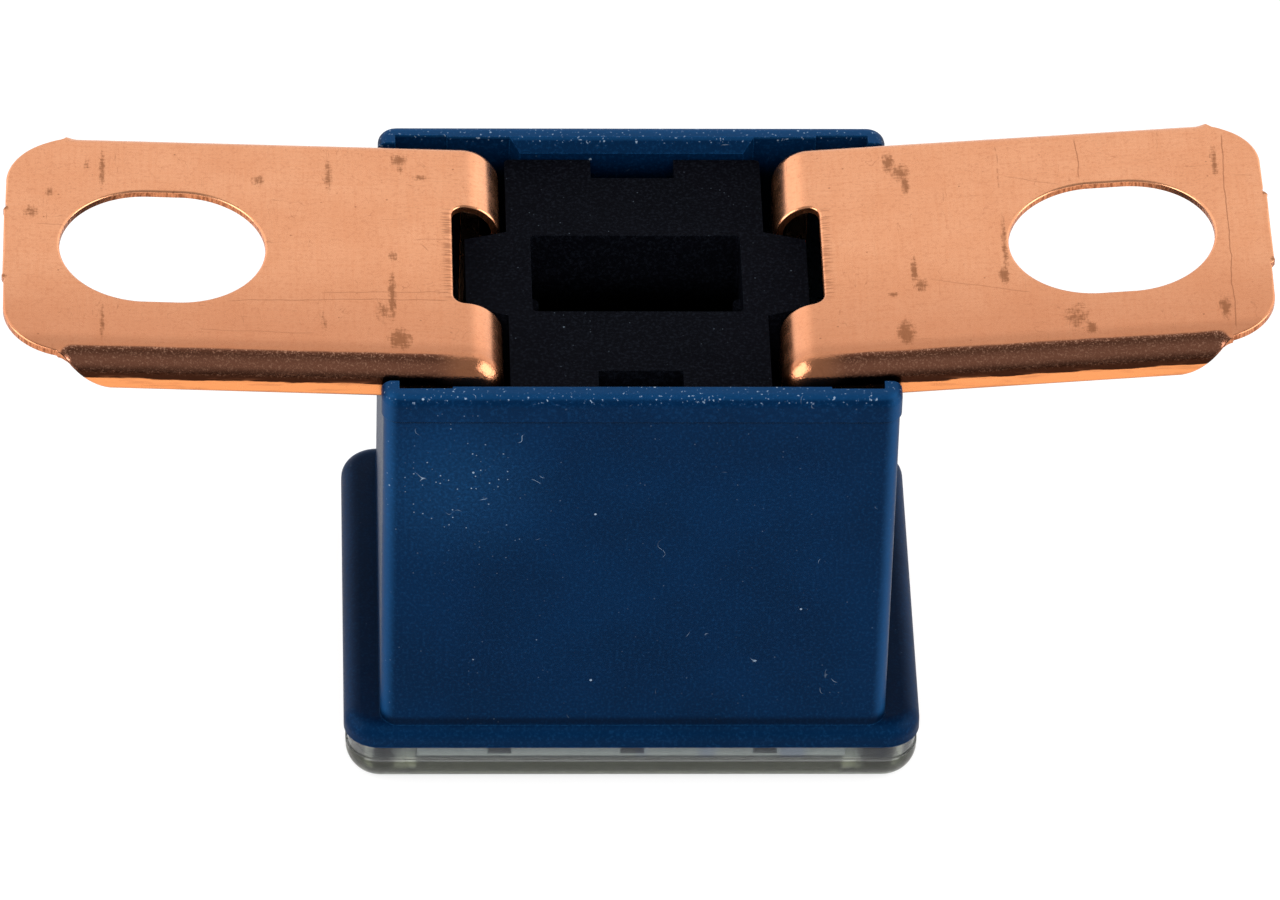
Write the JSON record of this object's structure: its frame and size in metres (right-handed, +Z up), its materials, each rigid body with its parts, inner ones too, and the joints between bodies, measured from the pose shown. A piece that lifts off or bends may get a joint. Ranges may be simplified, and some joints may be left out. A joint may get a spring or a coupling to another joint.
{
  "type": "fusible link",
  "caption": "Bolt-on fusible link: a folded copper element with two slotted terminals in a blue moulded housing, with a black spacer block and a clear window cover.",
  "frame": {"origin": "centre of the clear cover's outer face, which the part stands on", "axes": "+Z up from the cover to the terminals, +X along the two terminals, +Y across the body to its far long wall"},
  "size_m": [0.0482, 0.0172, 0.0209],
  "materials": {
    "housing_plastic": "satin moulded blue plastic",
    "clear_plastic": "clear polycarbonate, polished",
    "copper": "rolled copper sheet, light handling marks",
    "tin": "dull tin",
    "spacer_plastic": "fine satin black plastic"
  },
  "bodies": {
    "root": {"housing": "housing_plastic", "window_cover": "clear_plastic", "fuse_element": "copper", "tin_chip": "tin", "spacer_block": "spacer_plastic"}
  },
  "joints": []
}
